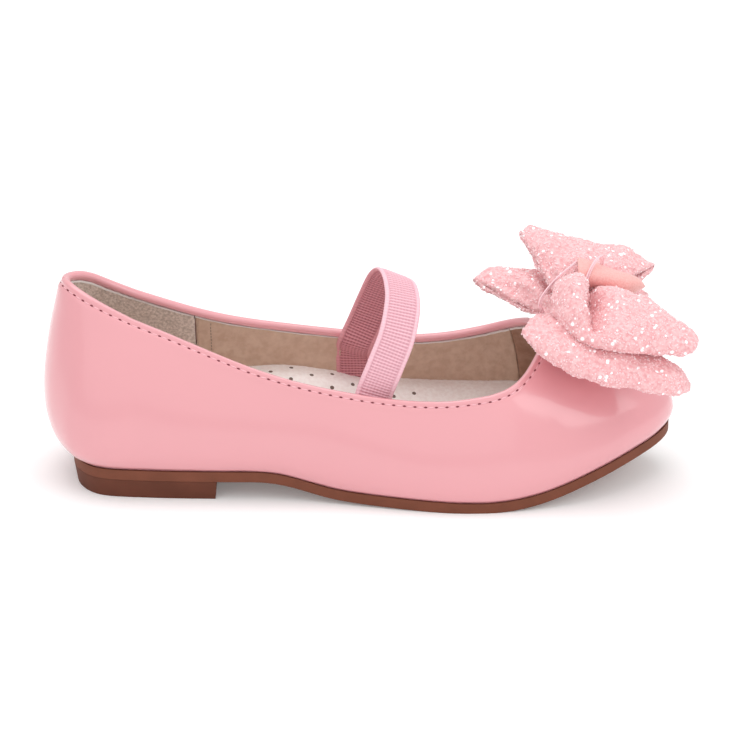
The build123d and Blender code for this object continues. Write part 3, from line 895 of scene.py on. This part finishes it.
def bow_loop(waist, pinch, ends, phase):
    """One loop of cloth: from the waist out to its fold and back over itself."""
    across = np.linspace(0, 1, loop_wide)
    knots = spread(ends, across)
    turn = np.linspace(-loop_turn, loop_turn, loop_long) * pi
    out = (1 + np.cos(turn)) / 2
    start = np.array(waist) + np.outer(across - 0.5, (pinch, 0, 0))
    fold = knots[:, :3]
    middle = (start + fold) / 2 + np.outer(knots[:, 4], (0, 0, 1))
    r = out[None, :, None]
    line = ((1 - r) ** 2 * start[:, None] + 2 * r * (1 - r) * middle[:, None]
            + r**2 * fold[:, None])
    run_out = fold - start
    run_out /= np.linalg.norm(run_out, axis=1, keepdims=True)
    up = np.array([0, 0, 1]) - run_out * run_out[:, 2:3]
    up /= np.linalg.norm(up, axis=1, keepdims=True)
    puff = knots[:, 3][:, None] * np.sin(turn)[None]
    folds = pleat_height * np.cos(across * pleats * pi + phase)
    pleat = folds[:, None] * ((1 - out) * out * 3)[None]
    points = line + up[:, None] * (puff + pleat)[..., None]
    faces = []
    for i in range(loop_wide - 1):
        here, there = i * loop_long, (i + 1) * loop_long
        faces += [(here + j, here + j + 1, there + j + 1, there + j)
                  for j in range(loop_long - 1)]
    return points.reshape(-1, 3), faces


def roughened(piece, waves):
    """Push a piece's points along their normals by noise: (height in mm, waves per mm)."""
    count = len(piece.data.vertices)
    spots, normals = np.empty(3 * count, np.float32), np.empty(3 * count, np.float32)
    piece.data.vertices.foreach_get("co", spots)
    piece.data.vertex_normals.foreach_get("vector", normals)
    spots, normals = spots.reshape(-1, 3), normals.reshape(-1, 3)
    push = [sum(height * noise.noise(Vector(spot) / mm * rate) for height, rate in waves)
            for spot in spots]
    moved = spots + normals * np.array(push)[:, None] * mm
    piece.data.vertices.foreach_set("co", moved.ravel())
    piece.data.update()


def bow_strip(name, loops, material):
    """Loops of one strip as cloth with thickness, lumpy like brushed glitter cloth."""
    points, faces = [], []
    for order, (waist, pinch, ends) in enumerate(loops):
        loop_points, loop_faces = bow_loop(waist, pinch, ends, order * 1.7)
        faces += [tuple(len(points) + i for i in face) for face in loop_faces]
        points += list(loop_points)
    piece = mesh_object(name, np.array(points) * mm, faces)
    roughened(piece, puff_waves)
    wall = piece.modifiers.new("wall", "SOLIDIFY")
    wall.thickness = cloth_thickness * mm
    wall.offset = 0
    applied(piece)
    roughened(piece, nap_waves)
    piece.data.materials.append(material)
    outward(piece)
    return piece


glitter_cloth = grained(
    plain_material("glitter_cloth", (0.86, 0.45, 0.47), 0.75, Sheen_Weight=0.3),
    900, 0.0004, ((0.82, 0.38, 0.4), (0.93, 0.58, 0.59)), detail=4.0,
)
# The glitter and the sequins glow faintly: a painted glint and lightness, not a lamp.
glowing_beads = plain_material("glitter", (0.93, 0.66, 0.68), 0.35, Emission_Color=(1, 0.6, 0.62, 1),
                            Emission_Strength=0.05)
glowing_pearl_sequins = plain_material("sequin", (0.98, 0.93, 0.94), 0.18, Metallic=0.2, Coat_Weight=1.0,
                              Emission_Color=(1, 0.9, 0.92, 1), Emission_Strength=0.12)


def sprinkle_group():
    """Geometry group: round grains scattered over a surface, lying on it or tipped."""
    group, given, made = new_group(
        "sprinkle", "GeometryNodeTree",
        [("Cloth", "Geometry"), ("Density", "Float", 1e6), ("Smallest", "Float", 0.0004),
         ("Largest", "Float", 0.0008), ("Flatness", "Float", 1.0), ("Tip", "Float", 0.3),
         ("Fineness", "Int"), ("Seed", "Int"), ("Material", "Material")],
        [("Grains", "Geometry")],
    )
    nodes, links = group.nodes, group.links
    spots = nodes.new("GeometryNodeDistributePointsOnFaces")
    ball = nodes.new("GeometryNodeMeshIcoSphere")
    ball.inputs["Radius"].default_value = 0.5
    size = nodes.new("FunctionNodeRandomValue")
    tip = nodes.new("FunctionNodeRandomValue")
    tip.data_type = "FLOAT_VECTOR"
    low = nodes.new("ShaderNodeMath")
    low.operation = "MULTIPLY"
    low.inputs[1].default_value = -1
    thin = nodes.new("ShaderNodeMath")
    thin.operation = "MULTIPLY"
    flat = nodes.new("ShaderNodeCombineXYZ")
    turn = nodes.new("FunctionNodeRotateEuler")
    turn.rotation_type = "EULER"
    turn.space = "LOCAL"
    for title, socket in (
        ("Cloth", spots.inputs["Mesh"]), ("Density", spots.inputs["Density"]),
        ("Seed", spots.inputs["Seed"]), ("Fineness", ball.inputs["Subdivisions"]),
        ("Smallest", size.inputs[2]), ("Largest", size.inputs[3]), ("Seed", size.inputs["Seed"]),
        ("Seed", tip.inputs["Seed"]), ("Tip", low.inputs[0]), ("Tip", tip.inputs[1]),
        ("Flatness", thin.inputs[1]),
    ):
        links.new(given.outputs[title], socket)
    links.new(low.outputs[0], tip.inputs[0])
    links.new(spots.outputs["Rotation"], turn.inputs[0])
    links.new(tip.outputs[0], turn.inputs[1])
    for socket in (thin.inputs[0], flat.inputs[0], flat.inputs[1]):
        links.new(size.outputs[1], socket)
    links.new(thin.outputs[0], flat.inputs[2])
    grains_on(group, given, made, spots.outputs["Points"], ball, turn, flat)
    return group


sprinkle = sprinkle_group()


def sprinkled(name, cloth, **given):
    """Grains over a cloth, as a piece of their own."""
    piece = bpy.data.objects.new(name, cloth.data.copy())
    scene.collection.objects.link(piece)
    through_nodes(piece, sprinkle, **given)
    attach(piece, "shoe")
    return piece


for name, node, loops, seed in (
    ("bow_lower", "bow_lower_strip", ((lower_waist, pinch_lower, lower_near),
                                      (lower_waist, pinch_lower, lower_far)), 3),
    ("bow_upper", "bow_upper_strip", ((upper_near_waist, pinch_upper, upper_near),
                                      (upper_waist, pinch_upper, upper_far)), 8),
):
    cloth = bow_strip(name, loops, glitter_cloth)
    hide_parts(node)
    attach(cloth, "shoe")
    beads = sprinkled(name + "_glitter", cloth, Density=0.72e6, Smallest=0.0003, Largest=0.0008,
                      Flatness=0.9, Tip=0.5, Fineness=1, Seed=seed, Material=glowing_beads)
    sequins = sprinkled(name + "_sequins", cloth, Density=0.04e6, Smallest=0.0007,
                        Largest=0.0014, Flatness=0.4, Tip=0.5, Fineness=2, Seed=seed + 1,
                        Material=glowing_pearl_sequins)

# Ribbon and threads ---------------------------------------------------------------------------
# A short folded satin ribbon lies on the waist; two turns of two-strand pale thread tie ribbon
# and strips together and to the felt pad on the vamp.

ribbon_start, ribbon_end = Vector((134.8, 1.8, 67.0)), Vector((155.0, 3.6, 60.4))
ribbon_high, ribbon_deep, ribbon_wall = 3.8, 4.6, 0.6
ribbon_rings, ribbon_sides = 34, 40
strand_radius = 0.26
strand_sides = 8
strand_shifts = ((-0.35, -0.3, 0), (0.35, 0.35, 0))

# Middle of each pair of strands, round the waist
thread_turns = {
    "tie_thread_front": (
        (142.5, 3.8, 71), (140.6, 0.8, 71), (138.4, -2.8, 68.4), (137, -4.4, 64.5),
        (136, -4.4, 59), (134, -3, 50), (133, -1, 47.4), (135, 2.5, 48.4), (139.5, 5.5, 57),
        (142.5, 6, 66),
    ),
    "tie_thread_back": (
        (136, 3, 70.2), (132.5, -1, 69.4), (128.4, -5, 67.4), (124.6, -8.6, 64.2),
        (122.8, -9.6, 60.6), (124.5, -7, 55.5), (128, -3, 50), (133, 0, 47.6), (138, 3, 50),
        (140, 5, 58), (139, 5, 66),
    ),
}

ribbon_run = ribbon_end - ribbon_start
side_way = Vector((0, 1, 0))
up_way = ribbon_run.normalized().cross(side_way).normalized() * -1


def ribbon_spot(along, angle, wall):
    """A point (mm) of the roll: its end is drawn in, and it swells in soft folds."""
    swell = 1 + 0.06 * sin(3 * angle + 4 * along) + 0.05 * sin(9 * along) - 0.75 * along**8
    return (ribbon_start + ribbon_run * (along + 0.05 * cos(angle) * (1 - 2 * along))
            + up_way * (ribbon_high - wall) * cos(angle) * swell
            + side_way * (ribbon_deep - wall) * sin(angle) * swell)


points = [
    ribbon_spot(i / (ribbon_rings - 1), 2 * pi * k / ribbon_sides, wall) * mm
    for i in range(ribbon_rings) for wall in (0, ribbon_wall) for k in range(ribbon_sides)
]
faces = []
for k in range(ribbon_sides):
    m = (k + 1) % ribbon_sides
    for i in range(ribbon_rings - 1):
        outer, inner = 2 * i * ribbon_sides, (2 * i + 1) * ribbon_sides
        outer_next, inner_next = outer + 2 * ribbon_sides, inner + 2 * ribbon_sides
        faces.append((outer + k, outer + m, outer_next + m, outer_next + k))
        faces.append((inner + k, inner_next + k, inner_next + m, inner + m))
    for i in (0, ribbon_rings - 1):
        outer, inner = 2 * i * ribbon_sides, (2 * i + 1) * ribbon_sides
        faces.append((outer + k, inner + k, inner + m, outer + m))
ribbon = mesh_object("satin_ribbon", points, faces)
outward(ribbon)
satin = grained(plain_material("satin", (0.88, 0.43, 0.4), 0.42, Sheen_Weight=0.3), 1800, 0.00012,
                ((0.84, 0.39, 0.36), (0.92, 0.5, 0.47)), stretch=(1, 3, 1))
ribbon.data.materials.append(satin)
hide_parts("centre_ribbon")
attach(ribbon, "shoe")


def strand_loop(name, points):
    """A closed round strand through points in mm, its sides carried along without twist."""
    count = len(points)
    heads = [Vector(points[(i + 1) % count] - points[i - 1]).normalized() for i in range(count)]
    side = heads[0].orthogonal().normalized()
    spots, faces = [], []
    for i, (point, head) in enumerate(zip(points, heads)):
        side = (side - head * side.dot(head)).normalized()
        third = head.cross(side)
        here, there = i * strand_sides, (i + 1) % count * strand_sides
        for k in range(strand_sides):
            angle = 2 * pi * k / strand_sides
            spoke = (side * cos(angle) + third * sin(angle)) * strand_radius
            spots.append((Vector(point) + spoke) * mm)
            m = (k + 1) % strand_sides
            faces.append((here + k, here + m, there + m, there + k))
    piece = mesh_object(name, spots, faces)
    outward(piece)
    return piece


pale_thread = plain_material("thread", (0.93, 0.62, 0.66), 0.5)
for name, knots in thread_turns.items():
    line, _ = smooth_line(knots, 120, closed=True)
    pair = [strand_loop(f"{name}_{k}", line + shift) for k, shift in enumerate(strand_shifts)]
    for strand in pair:
        strand.data.materials.append(pale_thread)
        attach(strand, "shoe")
    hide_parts(name)

# Sole -----------------------------------------------------------------------------------------
# A moulded rubber outsole with a separate low heel block glued under it.  Board, shank, filler
# and stiffeners are shut inside, and a felt pad under the bow glues it to the vamp.

soft_edge = 0.0005


def moulded(name, light, dark, roughness):
    """A moulded material: faintly mottled, smooth, with softened edges."""
    material = grained(plain_material(name, light, roughness, Specular_IOR_Level=0.25), 120, 0.0001,
                       (light, dark), detail=5.0)
    nodes, links = material.node_tree.nodes, material.node_tree.links
    edges = nodes.new("ShaderNodeBevel")
    edges.inputs["Radius"].default_value = soft_edge
    links.new(edges.outputs["Normal"], nodes["Principled BSDF"].inputs["Normal"])
    return material


kept_finishes = {
    "outsole": moulded("outsole_rubber", (0.2, 0.063, 0.034), (0.17, 0.053, 0.028), 0.6),
    "heel_block": moulded("heel_rubber", (0.14, 0.042, 0.023), (0.115, 0.034, 0.018), 0.65),
    "shank": plain_material("spring_steel", (0.5, 0.5, 0.52), 0.35, Metallic=1.0),
    "insole_board": grained(plain_material("fibre_board", (0.5, 0.36, 0.22), 0.9), 700, 0.0002),
    "heel_counter": grained(plain_material("heel_counter", (0.6, 0.55, 0.48), 0.9), 700, 0.0002),
    "toe_puff": grained(plain_material("toe_puff", (0.6, 0.55, 0.48), 0.9), 700, 0.0002),
}
for node, material in kept_finishes.items():
    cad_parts[node].data.materials.clear()
    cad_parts[node].data.materials.append(material)

for node, title, colour, grid, fill in (
    ("bow_pad", "bow_felt", (0.75, 0.32, 0.36), 0.35, 0.8),
    ("bottom_filler", "filler_felt", (0.3, 0.28, 0.26), 0.7, 1),
):
    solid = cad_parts[node].data
    felt = mesh_object(node + "_felt", [v.co for v in solid.vertices],
                       [list(p.vertices) for p in solid.polygons])
    remesh = felt.modifiers.new("even", "REMESH")
    remesh.mode, remesh.voxel_size = "VOXEL", grid * mm
    soften = felt.modifiers.new("soften", "SMOOTH")
    soften.iterations = 3
    applied(felt)
    felt.data.shade_smooth()
    felt.data.materials.clear()
    felt.data.materials.append(grained(plain_material(title, colour, 0.95), 900, 0.0004))
    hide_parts(node)
    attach(felt, "shoe")
